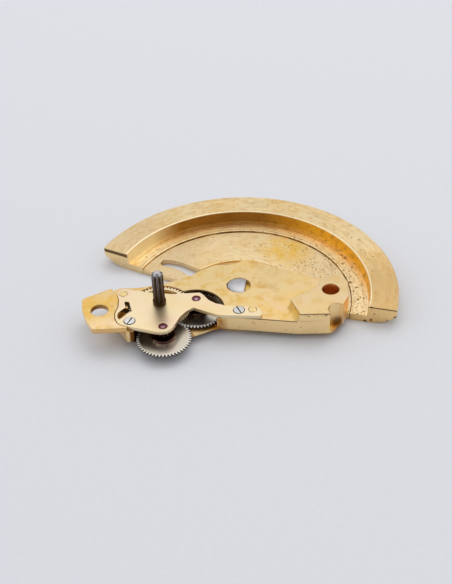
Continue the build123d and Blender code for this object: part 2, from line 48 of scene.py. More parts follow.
def fromHex(text):
    channels = [int(text[k:k + 2], 16) / 255 for k in (0, 2, 4)]
    linear = [c / 12.92 if c <= 0.04045 else ((c + 0.055) / 1.055) ** 2.4 for c in channels]
    return (*linear, 1.0)


def addNode(tree, kind, inputs=None, **settings):
    node = tree.nodes.new(kind)
    for name, value in settings.items():
        setattr(node, name, value)
    for key, value in (inputs or {}).items():
        if isinstance(value, bpy.types.NodeSocket):
            tree.links.new(value, node.inputs[key])
        else:
            node.inputs[key].default_value = value
    return node


def newMaterial(name):
    material = bpy.data.materials.new(name)
    material.use_nodes = True
    tree = material.node_tree
    tree.nodes.clear()
    place = addNode(tree, "ShaderNodeTexCoord").outputs["Object"]
    return material, tree, place


def finishMaterial(tree, settings, height=None, depth=0.0):
    # the shader and its output, with bumps of a given depth in mm where there is a height
    if height:
        bump = addNode(tree, "ShaderNodeBump", {"Strength": 1.0, "Distance": depth * mm, "Height": height})
        settings["Normal"] = bump.outputs["Normal"]
    shader = addNode(tree, "ShaderNodeBsdfPrincipled", settings)
    addNode(tree, "ShaderNodeOutputMaterial", {"Surface": shader.outputs["BSDF"]})


def joined(tree, masks, how="MULTIPLY"):
    # one mask where all of them hold, or with MAXIMUM where any does
    total = masks[0]
    for mask in masks[1:]:
        total = addNode(tree, "ShaderNodeMath", {0: total, 1: mask}, operation=how).outputs[0]
    return total


def cloud(tree, place, size, detail=3.0, offset=0.0):
    # soft patches of a given size in mm
    moved = addNode(tree, "ShaderNodeMapping", {"Vector": place, "Location": (offset, offset, offset)})
    noise = addNode(tree, "ShaderNodeTexNoise", {"Vector": moved.outputs["Vector"], "Scale": 1 / (size * mm),
                                                 "Detail": detail, "Roughness": 0.55})
    return noise.outputs[0]


ringMap = {"radius": 10}


def ringNoise(tree, place, across, along, detail):
    # noise in rings about the rotor axis: its grain in mm across them, and along them at the map's radius
    flat = addNode(tree, "ShaderNodeVectorMath", {0: place, 1: (1, 1, 0)}, operation="MULTIPLY").outputs[0]
    radius = addNode(tree, "ShaderNodeVectorMath", {0: flat}, operation="LENGTH").outputs["Value"]
    x, y, z = addNode(tree, "ShaderNodeSeparateXYZ", {0: place}).outputs
    angle = addNode(tree, "ShaderNodeMath", {0: y, 1: x}, operation="ARCTAN2").outputs[0]
    vector = addNode(tree, "ShaderNodeCombineXYZ", {
        0: joined(tree, [radius, 1 / (across * mm)]), 1: joined(tree, [angle, ringMap["radius"] / along]),
        2: joined(tree, [z, 1 / (across * mm)])}).outputs[0]
    return addNode(tree, "ShaderNodeTexNoise", {"Vector": vector, "Scale": 1.0, "Detail": detail}).outputs[0]


def awayFrom(tree, place, spot):
    # distance in mm from an upright line through a spot
    moved = addNode(tree, "ShaderNodeVectorMath", {0: place, 1: (spot[0] * mm, spot[1] * mm, 0)},
                    operation="SUBTRACT").outputs[0]
    flat = addNode(tree, "ShaderNodeVectorMath", {0: moved, 1: (1 / mm, 1 / mm, 0)},
                   operation="MULTIPLY").outputs[0]
    return addNode(tree, "ShaderNodeVectorMath", {0: flat}, operation="LENGTH").outputs["Value"]


def pastPlane(tree, place, turn):
    # mm past an upright plane through the rotor axis, on its anticlockwise side
    angle = math.radians(turn)
    normal = (-math.sin(angle) / mm, math.cos(angle) / mm, 0)
    dot = addNode(tree, "ShaderNodeVectorMath", {0: place, 1: normal}, operation="DOT_PRODUCT")
    return dot.outputs["Value"]


def levelness(tree):
    # how level a face is: 1 on level faces, 0 on upright walls
    normal = addNode(tree, "ShaderNodeNewGeometry").outputs["True Normal"]
    up = addNode(tree, "ShaderNodeSeparateXYZ", {0: normal}).outputs["Z"]
    return addNode(tree, "ShaderNodeMath", {0: up}, operation="ABSOLUTE").outputs[0]


def measures(tree, place):
    # what limits are measured by, in mm: the three coordinates and the distance from the rotor axis
    scaled = addNode(tree, "ShaderNodeVectorMath", {0: place, 1: (1 / mm, 1 / mm, 1 / mm)},
                     operation="MULTIPLY").outputs[0]
    x, y, z = addNode(tree, "ShaderNodeSeparateXYZ", {0: scaled}).outputs
    return {"place": place, "x": x, "y": y, "z": z, "axis": awayFrom(tree, place, (0, 0))}


def zone(tree, at, layer):
    # 1 where all limits of a layer hold. A limit runs from 0 at its first number to 1 at its second, or
    # between the two values that follow them, and a Band has two borders and their softness. x, y, z, axis,
    # reach (about a spot) and past (a plane) are in mm. level is 1 on level faces and 0 on walls, and cut
    # picks patches of a cloud, a ring noise or another pattern.
    place = at.get("place")
    values = {name: at[name] for name in ("x", "y", "z", "axis") if name in at}
    if "spot" in layer:
        values["reach"] = awayFrom(tree, place, layer["spot"])
    if "level" in layer:
        values["level"] = levelness(tree)
    if "pastEnd" in layer:
        values["past"] = pastPlane(tree, place, layer["pastEnd"])
    if "cloud" in layer:
        values["cut"] = cloud(tree, place, *layer["cloud"])
    elif "ringNoise" in layer:
        values["cut"] = ringNoise(tree, place, *layer["ringNoise"])
    elif "pattern" in layer:
        values["cut"] = layer["pattern"]
    limits = [(values[name], *layer[name]) for name in values if name in layer]
    for name in values:
        if name + "Band" in layer:
            low, high, soft = layer[name + "Band"]
            limits += [(values[name], low - soft, low), (values[name], high + soft, high)]
    masks = []
    for value, low, high, *ends in limits:
        toLow, toHigh = ends or (0.0, 1.0)
        fade = addNode(tree, "ShaderNodeMapRange", {"Value": value, "From Min": low, "From Max": high,
                                                    "To Min": toLow, "To Max": toHigh})
        masks.append(fade.outputs["Result"])
    if "residue" in layer:
        masks.append(residueRings(tree, at, *layer["residue"]))
    if "pits" in layer:
        masks.append(pitMask(tree, at, *layer["pits"]))
    if "either" in layer:
        masks.append(joined(tree, [zone(tree, at, part) for part in layer["either"]], "MAXIMUM"))
    masks += [layer[name] for name in ("mask", "share") if name in layer]
    return joined(tree, masks)


def paint(tree, at, colour, layers, shares=None):
    # lays the colour of each layer over those before it, thinned by its share where one is given, and gives
    # back the masks as well
    masks = {}
    for name, layer in layers.items():
        mask = zone(tree, at, layer)
        if shares and name in shares:
            mask = joined(tree, [mask, shares[name]])
        over = fromHex(layer["colour"]) if isinstance(layer["colour"], str) else layer["colour"]
        colour = addNode(tree, "ShaderNodeMix", {0: mask, 6: colour, 7: over}, data_type="RGBA").outputs[2]
        masks[name] = mask
    return colour, masks


def middleOf(node):
    low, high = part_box(node)
    return ((low.x + high.x) / 2 / mm, (low.y + high.y) / 2 / mm), (high.x - low.x) / 2 / mm


residue = {"soft": 0.5, "cloud": (0.5, 2.0, 0.019), "cut": (0.38, 0.56, 0.15, 1.0)}


def residueRings(tree, at, nodes, reach, gap=0.0):
    # dark residue caught in the gap round each head, pin and jewel, in broken rings
    rings = []
    for node in nodes:
        spot, radius = middleOf(node)
        start = radius + gap
        rings.append({"spot": spot, "reachBand": (start, start + reach, reach * residue["soft"])})
    return zone(tree, at, {"either": rings, "cloud": residue["cloud"], "cut": residue["cut"]})


pitShape = {"floor": 0.6}


def pitMask(tree, at, cell, share, size):
    # small dark pits where the plating has broken down: one in some cells only
    cells = addNode(tree, "ShaderNodeTexVoronoi", {"Vector": at["place"], "Scale": 1 / (cell * mm)})
    near = zone(tree, at, {"pattern": cells.outputs["Distance"], "cut": (size, size * pitShape["floor"])})
    pick = addNode(tree, "ShaderNodeSeparateColor", {0: cells.outputs["Color"]}).outputs[0]
    kept = addNode(tree, "ShaderNodeMath", {0: pick, 1: share}, operation="LESS_THAN").outputs[0]
    return joined(tree, [near, kept])


# Frosted gold plating on brass: the frame. Pale where clean, more yellow in worn patches, with painted shade
# inside the wheel pockets and painted light on its walls and some facets.
framePlating = {"colour": "E6CA92", "rough": {"cloud": (5.0,), "cut": (0.3, 0.7, 0.31, 0.40)},
                "grain": (0.11, 2.0), "grainDepth": 0.0016, "paintedLightZones": ("ramp", "amber", "collar", "glow"),
                "paintedLightMetal": 0.45}
framePlating["layers"] = {
    "worn": {"colour": "E6BC64", "either": [
        {"cloud": (5.0,), "cut": (0.50, 0.72, 0.0, 0.75)},
        {"x": (-8.4, -9.6), "cloud": (1.5, 3.0, 0.027), "cut": (0.42, 0.58)}]},
    "rosy": {"colour": "E8C8A0", "cloud": (2.2, 2.0, 0.041), "cut": (0.52, 0.68, 0.0, 0.7)},
    "yellow": {"colour": "DEB154", "cloud": (0.8, 4.0, 0.061), "cut": (0.50, 0.66, 0.0, 0.7)},
    "smudge": {"colour": "BC8438", "cloud": (1.7, 5.0, 0.013), "cut": (0.58, 0.76, 0.0, 0.45)},
    # painted light: upright walls are painted paler than the level faces
    "wall": {"colour": "FFDFA4", "level": (0.5, 0.15), "share": 0.95},
    "specks": {"colour": "BC8438", "level": (0.5, 0.15), "cloud": (0.35, 4.0, 0.071),
               "cut": (0.60, 0.72, 0.0, 0.5)},
    # painted light: the concave ramp beside the foot is painted bright yellow
    "ramp": {"colour": "FFD874", "xBand": (2.6, 4.7, 0.1), "y": (-4.88, -4.84, 0.0, 0.85),
             "zBand": (1.90, 2.60, 0.02)},
    # the ear is paler and pinker towards its front, and the foot's top a little greyer
    "earFront": {"colour": "F6DFBC", "x": (-9.0, -9.6), "y": (-3.5, -4.6, 0.0, 0.5),
                 "cloud": (0.9, 4.0, 0.083), "cut": (0.36, 0.56)},
    "footTop": {"colour": "D6C4A8", "z": (2.60, 2.63, 0.0, 0.35)},
    # painted shade: dark below the bridge's small opening, and brown in the pockets of both wheels
    "deep": {"colour": "3A240C", "spot": (-8.98, -2.50), "reach": (0.52, 0.44), "z": (1.84, 1.79, 0.0, 0.9)},
    "paintedShade": {"colour": "96622A", "z": (1.84, 1.69, 0.0, 0.9), "either": [
        {"spot": middleOf("reverser_a_wheel")[0], "reach": (2.50, 2.25)},
        {"spot": middleOf("reverser_b_wheel")[0], "reach": (2.50, 2.25)}]},
    # painted light: amber in the front half of the opening under the bridge
    "amber": {"colour": "F4AE40", "spot": (-9.55, -2.95), "reach": (0.62, 0.50), "z": (1.86, 1.82)},
    # the bore round the axle head catches light where the head is cut flat
    "collar": {"colour": "FFD874", "axis": (1.05, 0.98), "z": (1.86, 1.83, 0.0, 0.9)},
    "headRing": {"colour": "4A2C10", "z": (1.84, 1.87), "residue": (("rotor_axle",), 0.05, 0.02)},
    # patina low on the wall beside the first wheel
    "patina": {"colour": "C07A18", "xBand": (-2.3, -1.55, 0.6), "y": (-3.3, -3.6), "z": (1.85, 1.5, 0.0, 0.9),
               "cloud": (0.5, 3.0, 0.093), "cut": (0.30, 0.55, 0.35, 1.0)},
    # thin brown lines of residue under the front edges, and flecks under the foot's
    "edgeLines": {"colour": "4E2E0E", "y": (-2.9, -3.2, 0.0, 0.9), "either": [
        {"xBand": (0.0, 4.3, 0.2), "zBand": (1.79, 1.845, 0.02)},
        {"xBand": (4.2, 7.0, 0.2), "zBand": (2.54, 2.59, 0.02)},
        {"xBand": (4.2, 7.0, 0.2), "zBand": (2.36, 2.59, 0.02), "cloud": (0.16, 3.0, 0.051),
         "cut": (0.52, 0.64, 0.0, 0.8)}]},
    # tan on the ear's front wall, and painted shade, dark brown, on the block beside it
    "earWall": {"colour": "DCA456", "x": (-8.7, -8.8), "y": (-4.9, -5.05), "z": (1.70, 1.75, 0.0, 0.6),
                "level": (0.5, 0.15)},
    "shadedBlock": {"colour": "6E4010", "xBand": (-8.72, -7.6, 0.12), "y": (-3.6, -4.0),
              "z": (1.86, 1.78, 0.0, 0.95)},
    # the notch in front of the foot hole: patina, a shaded corner and a lit one
    "notch": {"colour": "C07A18", "spot": (7.6, -4.53), "reach": (0.85, 0.51), "z": (2.0, 1.4, 0.0, 0.75)},
    "shade": {"colour": "3A240C", "spot": (7.70, -4.15), "reach": (0.55, 0.30), "z": (1.45, 1.1, 0.0, 0.6)},
    "glow": {"colour": "FFD874", "spot": (6.98, -4.72), "reach": (0.36, 0.16), "z": (1.9, 1.5, 0.0, 0.9)},
    # red-brown lacquer inside both screw holes
    "footBore": {"colour": "F0A040", "spot": (7.31, -1.98), "reach": (0.74, 0.72),
                 "z": (2.55, 2.25, 0.0, 0.85)},
    "earBore": {"colour": "A8702A", "spot": (-11.21, -2.82), "reach": (0.76, 0.74),
                "z": (2.16, 2.10, 0.0, 0.8)},
}


def makeFramePlating():
    look = framePlating
    material, tree, place = newMaterial("frostedGoldPlating")
    at = measures(tree, place)
    colour, masks = paint(tree, at, fromHex(look["colour"]), look["layers"])
    # where light is painted the plating is made less metallic, so that it scatters the light
    paintedLightMask = joined(tree, [masks[name] for name in look["paintedLightZones"]], "MAXIMUM")
    metal = zone(tree, at, {"pattern": paintedLightMask, "cut": (0.0, 1.0, 1.0, look["paintedLightMetal"])})
    rough = zone(tree, at, look["rough"])
    # frosting is finer than a pixel, so it is drawn as coarse as it needs to show
    grain = cloud(tree, place, *look["grain"])
    finishMaterial(tree, {"Base Color": colour, "Metallic": metal, "Roughness": rough},
                   grain, look["grainDepth"])
    return material


# Satin gold plating, pinkish and finely grained lengthwise: the train bridge.
bridgePlating = {"colour": "EEDAB2", "grainAcross": 0.09, "grainAlong": 1.6, "grainDetail": 2.0,
                 "grainTurn": 12, "grainDepth": 0.0009, "rough": (0.3, 0.7, 0.31, 0.39)}
bridgePlating["layers"] = {
    "worn": {"colour": "EACB92", "cloud": (3.2, 3.0, 0.03), "cut": (0.45, 0.75, 0.0, 0.6)},
    "rosy": {"colour": "EFD2B4", "cloud": (2.4, 2.0, 0.055), "cut": (0.48, 0.66, 0.0, 0.8)},
    "residue": {"colour": "6A4820", "residue": (
        ("bridge_screw_left", "bridge_screw_right", "steady_pin_left", "steady_pin_right", "jewel_a_upper",
         "jewel_b_upper"), 0.03)},
    # painted shade: the side that faces the wheels and the walls of the small opening are painted brown
    "paintedShade": {"colour": "5A3A1C", "share": 0.85, "either": [
        {"zBand": (1.87, 1.90, 0.03)},
        {"spot": (-8.95, -2.45), "reach": (0.85, 0.75), "z": (2.17, 2.14), "level": (0.6, 0.2)}]},
}


def makeBridgePlating():
    look = bridgePlating
    material, tree, place = newMaterial("satinGoldPlating")
    at = measures(tree, place)
    colour = paint(tree, at, fromHex(look["colour"]), look["layers"])[0]
    across, along = 1 / (look["grainAcross"] * mm), 1 / (look["grainAlong"] * mm)
    turned = addNode(tree, "ShaderNodeMapping", {
        "Vector": place, "Rotation": (0, 0, math.radians(look["grainTurn"])),
        "Scale": (along, across, across)}).outputs["Vector"]
    grain = addNode(tree, "ShaderNodeTexNoise", {"Vector": turned, "Scale": 1.0,
                                                 "Detail": look["grainDetail"]}).outputs[0]
    rough = zone(tree, at, {"pattern": grain, "cut": look["rough"]})
    finishMaterial(tree, {"Base Color": colour, "Metallic": 1.0, "Roughness": rough},
                   grain, look["grainDepth"])
    return material


# Gold plating on a turned brass rotor: rings from the lathe, pits where it has corroded, amber tarnish with
# painted shade and reflection on the inner wall of the rim, painted highlights along that wall, and a dark
# line where the rim's ledge meets the plate.
rotorPlating = {"pit": "80540E", "pitSizes": ((0.30, 0.27), (0.15, 0.27)), "largePit": (0.42, 0.30),
                "pitRough": 0.25, "wallDark": "B8822E", "wallShare": 0.92, "wallRough": 0.10,
                "wallMetal": (0.0, 1.0, 1.0, 0.75), "rings": (0.12, 2.5, 2.0), "ringDepth": 0.0012,
                "rough": (0.3, 0.7, 0.27, 0.37), "specular": 0.04}
# the inner wall of the rim, and the planes of its two ends as angles about the axis
rotorPlating["wall"] = {"axisBand": (10.60, 10.74, 0.02), "zBand": (0.68, 1.60, 0.05)}
rimEnds = {"left": {"pastEnd": 151.3, "past": (-0.03, -0.01)},
           "right": {"pastEnd": 162.8, "past": (-0.03, -0.01)}}
# how thickly pits lie: worst at the right-hand end, away from the slot, and hardly any on the rim's top
rotorPlating["pitDensity"] = {"x": (0.5, 8.5, 0.05, 1.0), "y": (10.5, 4.0, 0.30, 1.0),
                              "z": (0.9, 0.7, 0.06, 1.0), "share": 0.60}
rotorPlating["largePitDensity"] = {"x": (8.0, 9.0, 0.0, 0.5), "z": (0.9, 0.7), "axis": (9.1, 9.3)}
rotorPlating["underPits"] = {
    "warm": {"colour": "F3C874", "cloud": (3.6, 4.0, 0.007), "cut": (0.46, 0.66)},
    "freckles": {"colour": "C08030", "cloud": (0.55, 5.0, 0.021), "cut": (0.54, 0.72, 0.0, 0.38)},
    "tanned": {"colour": "DCB87E", "x": (8.5, 11.0), "y": (4.5, 0.5, 0.0, 0.95), "z": (1.5, 1.6)},
    # duller on the left of the rim's top and on both sides of the plate
    "dull": {"colour": "DDC49A", "either": [
        {"x": (-4.0, -8.0, 0.0, 0.5), "z": (1.5, 1.6)},
        {"x": (3.0, 7.0, 0.0, 0.4), "z": (0.56, 0.52)},
        {"x": (-2.0, -4.5, 0.0, 0.6), "z": (0.56, 0.52)}]},
    # fine brown streaks along the lathe rings
    "streaks": {"colour": "D9A452", "ringNoise": (0.22, 0.6, 4.0), "cut": (0.46, 0.74)},
    # one yellow stain on the plate
    "stain": {"colour": "F4C454", "spot": (4.3, 6.3), "reach": (2.7, 0.81), "z": (0.56, 0.52),
              "cloud": (0.9, 3.0, 0.033), "cut": (0.30, 0.56, 0.2, 0.9)},
}
# the rim's inner wall: its amber tint is tarnish and also painted shade, the dark it mirrors, and its left
# part is painted paler as a reflection
rotorPlating["tarnish"] = {
    "bright": {"colour": "FFC024", "x": (2.5, 7.0)},
    "left": {"colour": "FFF0C8", "x": (-5.0, -7.2)},
    "blotches": {"colour": "8A5A18", "x": (-6.5, -4.5), "cloud": (0.45, 4.0, 0.017),
                 "cut": (0.50, 0.70, 0.0, 0.55)},
}
rotorPlating["overPits"] = {
    # a painted highlight along the top edge of the inner wall
    "wallEdgeHighlight": {"colour": "FFEBC0", "axisBand": (10.70, 10.82, 0.02), "z": (1.56, 1.60)},
    "outerGroove": {"colour": "7E5420", "axisBand": (10.18, 10.21, 0.02), "z": (0.70, 0.66, 0.0, 0.35)},
    "innerGroove": {"colour": "7E5420", "axisBand": (9.42, 9.45, 0.02), "z": (0.70, 0.66, 0.0, 0.35)},
    # a painted highlight along the foot of the inner wall
    "wallFootHighlight": {"colour": "FFEBC0", "axisBand": (10.50, 10.56, 0.02), "z": (0.70, 0.66, 0.0, 0.8)},
    # the rim's two ends: brown spots on tan at the right, a dark line under the top edge of both
    "rightEnd": {"colour": "F8D08C", **rimEnds["right"], "share": 0.7},
    "leftEnd": {"colour": "FFE2AC", **rimEnds["left"], "share": 0.7},
    "endSpots": {"colour": "80540E", **rimEnds["right"], "pits": (0.55, 0.45, 0.32)},
    "endLines": {"colour": "4E3208", "share": 0.9, "either": [
        {**rimEnds["left"], "zBand": (1.27, 1.57, 0.03)},
        {**rimEnds["right"], "zBand": (1.52, 1.60, 0.02)}]},
    # the seam of rim and plate, and a painted highlight on the edge of the round recess
    "seam": {"colour": "7E5420", "axisBand": (9.17, 9.225, 0.02), "x": (-8.0, -5.0, 0.35, 1.0),
             "cloud": (1.2, 3.0, 0.037), "cut": (0.36, 0.60, 0.30, 0.9)},
    "recessEdgeHighlight": {"colour": "F0D8A8", "axisBand": (5.02, 5.16, 0.02), "z": (0.47, 0.45, 0.0, 0.85)},
}


def makeRotorPlating(name, base, stainShare, streakShare):
    look = rotorPlating
    material, tree, place = newMaterial(name)
    at = measures(tree, place)
    shares = {"warm": stainShare, "streaks": streakShare}
    colour = paint(tree, at, fromHex(base), look["underPits"], shares)[0]
    density = zone(tree, at, look["pitDensity"])
    pits = [pitMask(tree, at, cell, density, size) for cell, size in look["pitSizes"]]
    largeCell, largeSize = look["largePit"]
    pits.append(pitMask(tree, at, largeCell, zone(tree, at, look["largePitDensity"]), largeSize))
    pits = joined(tree, pits, "MAXIMUM")
    wall = zone(tree, at, look["wall"])
    tarnish, masks = paint(tree, at, fromHex(look["wallDark"]), look["tarnish"])
    colour = paint(tree, at, colour, {
        "pits": {"colour": look["pit"], "mask": pits},
        "wall": {"colour": tarnish, "mask": wall, "share": look["wallShare"]}, **look["overPits"]})[0]
    # lathe lines are finer than this, drawn as coarse as they need to show
    rings = ringNoise(tree, place, *look["rings"])
    rough = zone(tree, at, {"pattern": rings, "cut": look["rough"]})
    for mask, more in ((pits, look["pitRough"]), (wall, look["wallRough"])):
        rough = addNode(tree, "ShaderNodeMath", {0: mask, 1: more, 2: rough},
                        operation="MULTIPLY_ADD").outputs[0]
    # a pit holds brown oxide, not metal, and thick tarnish scatters a little light too
    metal = addNode(tree, "ShaderNodeMath", {0: 1.0, 1: pits}, operation="SUBTRACT").outputs[0]
    brightWall = joined(tree, [wall, masks["bright"]])
    metal = joined(tree, [metal, zone(tree, at, {"pattern": brightWall, "cut": look["wallMetal"]})])
    finishMaterial(tree, {"Base Color": colour, "Metallic": metal, "Roughness": rough,
                          "Specular IOR Level": look["specular"]}, rings, look["ringDepth"])
    return material


# Hardened steel, polished to sharp pale reflections or finely grained, and turned brass for the pins. A head
# has residue round it and painted shade on the floor of its slot.
steelFinish = {"shade": "8F8A84", "cut": (0.35, 0.75, 0.0, 0.5), "share": 0.25, "detail": 3.0,
               "offset": 0.004, "roughCut": (0.3, 0.7), "spread": 0.04, "residue": "5A4C40",
               "residueReach": 0.02, "residueGap": -0.02,
               "slot": {"colour": "2E2822", "zBand": (2.09, 2.20, 0.01), "share": 0.85}}


def makeSteel(name, colour, rough, grainSize, grainDepth, heads=()):
    look = steelFinish
    material, tree, place = newMaterial(name)
    at = measures(tree, place)
    grain = cloud(tree, place, grainSize, look["detail"], look["offset"])
    plain = fromHex(colour)
    shaded = [channel * shade for channel, shade in zip(plain, fromHex(look["shade"]))]
    layers = {"shade": {"colour": shaded, "pattern": grain, "cut": look["cut"], "share": look["share"]}}
    if heads:
        ring = (heads, look["residueReach"], look["residueGap"])
        layers["residue"] = {"colour": look["residue"], "residue": ring}
        layers["slot"] = look["slot"]
    colour = paint(tree, at, plain, layers)[0]
    rough = zone(tree, at, {"pattern": grain, "cut": (*look["roughCut"], rough, rough + look["spread"])})
    finishMaterial(tree, {"Base Color": colour, "Metallic": 1.0, "Roughness": rough}, grain, grainDepth)
    return material


# Stamped steel wheel with a fine grain: tooth ends painted pale as a highlight, and the gaps between the
# teeth painted brown as shade.
wheelSteel = {"colour": "CEC6B8", "shade": "8A8272", "shadeCut": (0.35, 0.75, 0.0, 0.06),
              "teeth": (1.94, 2.00), "upper": (0.925, 0.955),
              "gap": {"colour": "4A3A28", "z": (0.950, 0.920, 0.0, 0.9)},
              "rough": 0.32, "toothRough": 0.52, "grain": (0.16, 3.0, 0.004), "grainDepth": 0.0004}


def makeWheelSteel(name, node, toothHighlight, metalShare):
    look = wheelSteel
    material, tree, place = newMaterial(name)
    at = measures(tree, place)
    grain = cloud(tree, place, *look["grain"])
    teeth = zone(tree, at, {"spot": middleOf(node)[0], "reach": look["teeth"]})
    colour = paint(tree, at, fromHex(look["colour"]), {
        "shade": {"colour": look["shade"], "pattern": grain, "cut": look["shadeCut"]},
        "toothHighlight": {"colour": toothHighlight, "mask": teeth, "z": look["upper"]}, "gap": look["gap"]})[0]
    # matt teeth scatter light out of the pocket
    metal = zone(tree, at, {"pattern": teeth, "cut": (0.0, 1.0, 1.0, metalShare)})
    rough = zone(tree, at, {"pattern": teeth, "cut": (0.0, 1.0, look["rough"], look["toothRough"])})
    finishMaterial(tree, {"Base Color": colour, "Metallic": metal, "Roughness": rough},
                   grain, look["grainDepth"])
    return material


# Oiled steel, nearly black with a brown cast: pinion leaves, arbors and covers, bright where they rub, with
# painted highlights as well.
darkSteel = {"cloud": (0.7, 2.0, 0.011), "wearCut": (0.48, 0.70, 0.0, 0.5), "roughCut": (0.3, 0.7),
             "spread": 0.08, "pivotHighlight": "F4E6E6", "pivotBorder": 0.02}


def makeDarkSteel(name, colour, wear, rough, rubbedAndHighlit=None, pivotTop=None):
    look = darkSteel
    material, tree, place = newMaterial(name)
    at = measures(tree, place)
    patches = cloud(tree, place, *look["cloud"])
    layers = {"wear": {"colour": wear, "pattern": patches, "cut": look["wearCut"]}}
    if rubbedAndHighlit:
        layers["rubbedAndHighlit"] = rubbedAndHighlit
    if pivotTop:
        # painted highlight: the polished end of an arbor's pivot is painted pale
        layers["pivotHighlight"] = {"colour": look["pivotHighlight"], "z": (pivotTop, pivotTop + look["pivotBorder"])}
    tint = paint(tree, at, fromHex(colour), layers)[0]
    rough = zone(tree, at, {"pattern": patches, "cut": (*look["roughCut"], rough, rough + look["spread"])})
    finishMaterial(tree, {"Base Color": tint, "Metallic": 1.0, "Roughness": rough})
    return material


# Synthetic ruby, polished: deep pink-red with a clear gloss, with a pale painted highlight in its middle.
ruby = {"colour": "66162E", "light": {"colour": "9A3A52", "cloud": (0.25, 2.0), "cut": (0.35, 0.7)},
        "heartHighlight": "E8B4BC", "heartReach": (0.17, 0.11, 0.0, 0.8), "rough": 0.06, "ior": 1.76,
        "transmission": 0.25}


def makeRuby():
    material, tree, place = newMaterial("syntheticRuby")
    layers = {"light": ruby["light"]}
    for node in ("jewel_a_upper", "jewel_b_upper"):
        layers[node] = {"colour": ruby["heartHighlight"], "spot": middleOf(node)[0], "reach": ruby["heartReach"]}
    colour = paint(tree, measures(tree, place), fromHex(ruby["colour"]), layers)[0]
    finishMaterial(tree, {"Base Color": colour, "Roughness": ruby["rough"], "IOR": ruby["ior"],
                          "Transmission Weight": ruby["transmission"]})
    return material


# the tall pinion's tip and the lands of its leaves above the collar are rubbed bright and painted as
# highlights, more so higher up
pinionRubbedAndHighlit = {"colour": "C8C4C6", "either": [
    {"z": (5.04, 5.10)},
    {"spot": middleOf("driving_pinion")[0], "reach": (0.46, 0.475), "z": (2.8, 4.8, 0.12, 0.9),
     "either": [{"z": (2.55, 2.60)}]}]}
materials = {
    "frame": makeFramePlating(),
    "bridge": makeBridgePlating(),
    "rotor": makeRotorPlating("turnedGoldPlating", "FAE0AE", stainShare=0.6, streakShare=0.32),
    "rim": makeRotorPlating("turnedGoldPlatingRim", "F9DFAC", stainShare=0.45, streakShare=0.55),
    "polished": makeSteel("polishedSteel", "E4E2DE", rough=0.22, grainSize=0.5, grainDepth=0.0002,
                          heads=("bridge_screw_left", "bridge_screw_right")),
    "head": makeSteel("satinSteel", "BCBABC", rough=0.42, grainSize=0.5, grainDepth=0.0002,
                      heads=("rotor_axle",)),
    "grained": makeSteel("grainedSteel", "DED6C8", rough=0.24, grainSize=0.16, grainDepth=0.0004),
    "dark": makeDarkSteel("oiledDarkSteel", "44301A", "624A2C", rough=0.20, rubbedAndHighlit=pinionRubbedAndHighlit),
    "pin": makeSteel("turnedBrass", "F6DA98", rough=0.26, grainSize=0.2, grainDepth=0.0003),
    # painted light: the first wheel's teeth are paler and more matt than the second's, as it lies deeper in
    # shade
    "wheelA": makeWheelSteel("wheelSteelPaintedLitTeeth", "reverser_a_wheel", "FFFDF6", metalShare=0.15),
    "wheelB": makeWheelSteel("stampedWheelSteel", "reverser_b_wheel", "F6F0E4", metalShare=0.5),
    # painted shade: the first wheel's ring is darker than the second's, as it lies in shade under the bridge
    "ringA": makeSteel("ringSteelPaintedShade", "5A4A3A", rough=0.24, grainSize=0.3, grainDepth=0.0003),
    "ringB": makeSteel("brownedRingSteel", "B0A08A", rough=0.24, grainSize=0.3, grainDepth=0.0003),
    "cover": makeDarkSteel("brownedSteel", "5E4038", "7A5A4C", rough=0.18),
    "arbor": makeDarkSteel("brownedArborSteel", "5E4038", "7A5A4C", rough=0.18, pivotTop=1.95),
    "ruby": makeRuby(),
}
print("materials made:", len(materials))


# geometry helpers

working = {"merge": 2e-7, "spunMerge": 1e-8, "dissolve": 1.0, "levelShading": 0.9998, "levelFill": 0.9995,
           "levelDigits": 3, "slope": 0.3, "edgeAngle": 34, "smoothAngle": 50, "normalWeight": 100}


def keepPiece(name, mesh, body, nodes, material):
    piece = bpy.data.objects.new(name, mesh)
    bpy.context.scene.collection.objects.link(piece)
    mesh.materials.clear()
    mesh.materials.append(material)
    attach(piece, body)
    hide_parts(*nodes)
    # flat faces shade flat and only the rounded edges turn the light
    weigh = piece.modifiers.new("weighedNormals", "WEIGHTED_NORMAL")
    weigh.keep_sharp = True
    weigh.weight = working["normalWeight"]


def finishMesh(work, name, angle):
    mesh = bpy.data.meshes.new(name)
    work.to_mesh(mesh)
    work.free()
    for face in mesh.polygons:
        face.use_smooth = True
    mesh.set_sharp_from_angle(angle=math.radians(angle))
    # a level face ends in sharp edges, so that its long triangles draw no streaks
    met = {}
    for face in mesh.polygons:
        for key in face.edge_keys:
            met.setdefault(key, set()).add(abs(face.normal.z) > working["levelShading"])
    for edge in mesh.edges:
        if len(met.get(edge.key, ())) == 2:
            edge.use_edge_sharp = True
    return mesh


def mergedCopy(node):
    # a CAD node's mesh is loose triangles, so a copy is joined up before its edges are worked
    work = bmesh.new()
    work.from_mesh(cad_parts[node].data)
    bmesh.ops.remove_doubles(work, verts=work.verts, dist=working["merge"])
    bmesh.ops.recalc_face_normals(work, faces=work.faces)
    bmesh.ops.dissolve_limit(work, angle_limit=math.radians(working["dissolve"]), verts=work.verts,
                             edges=work.edges, use_dissolve_boundaries=False)
    return work


def breakEdges(work, width, segments):
    # rounds the level edges; upright ones stay as the cutter leaves them
    chosen = []
    for edge in work.edges:
        rise = abs(edge.verts[0].co.z - edge.verts[1].co.z)
        level = rise < working["slope"] * edge.calc_length() and len(edge.link_faces) == 2
        if level and edge.calc_face_angle() > math.radians(working["edgeAngle"]):
            chosen.append(edge)
    bmesh.ops.bevel(work, geom=chosen, offset=width * mm, offset_type="OFFSET", segments=segments,
                    profile=0.5, affect="EDGES", clamp_overlap=False, loop_slide=True, material=-1)


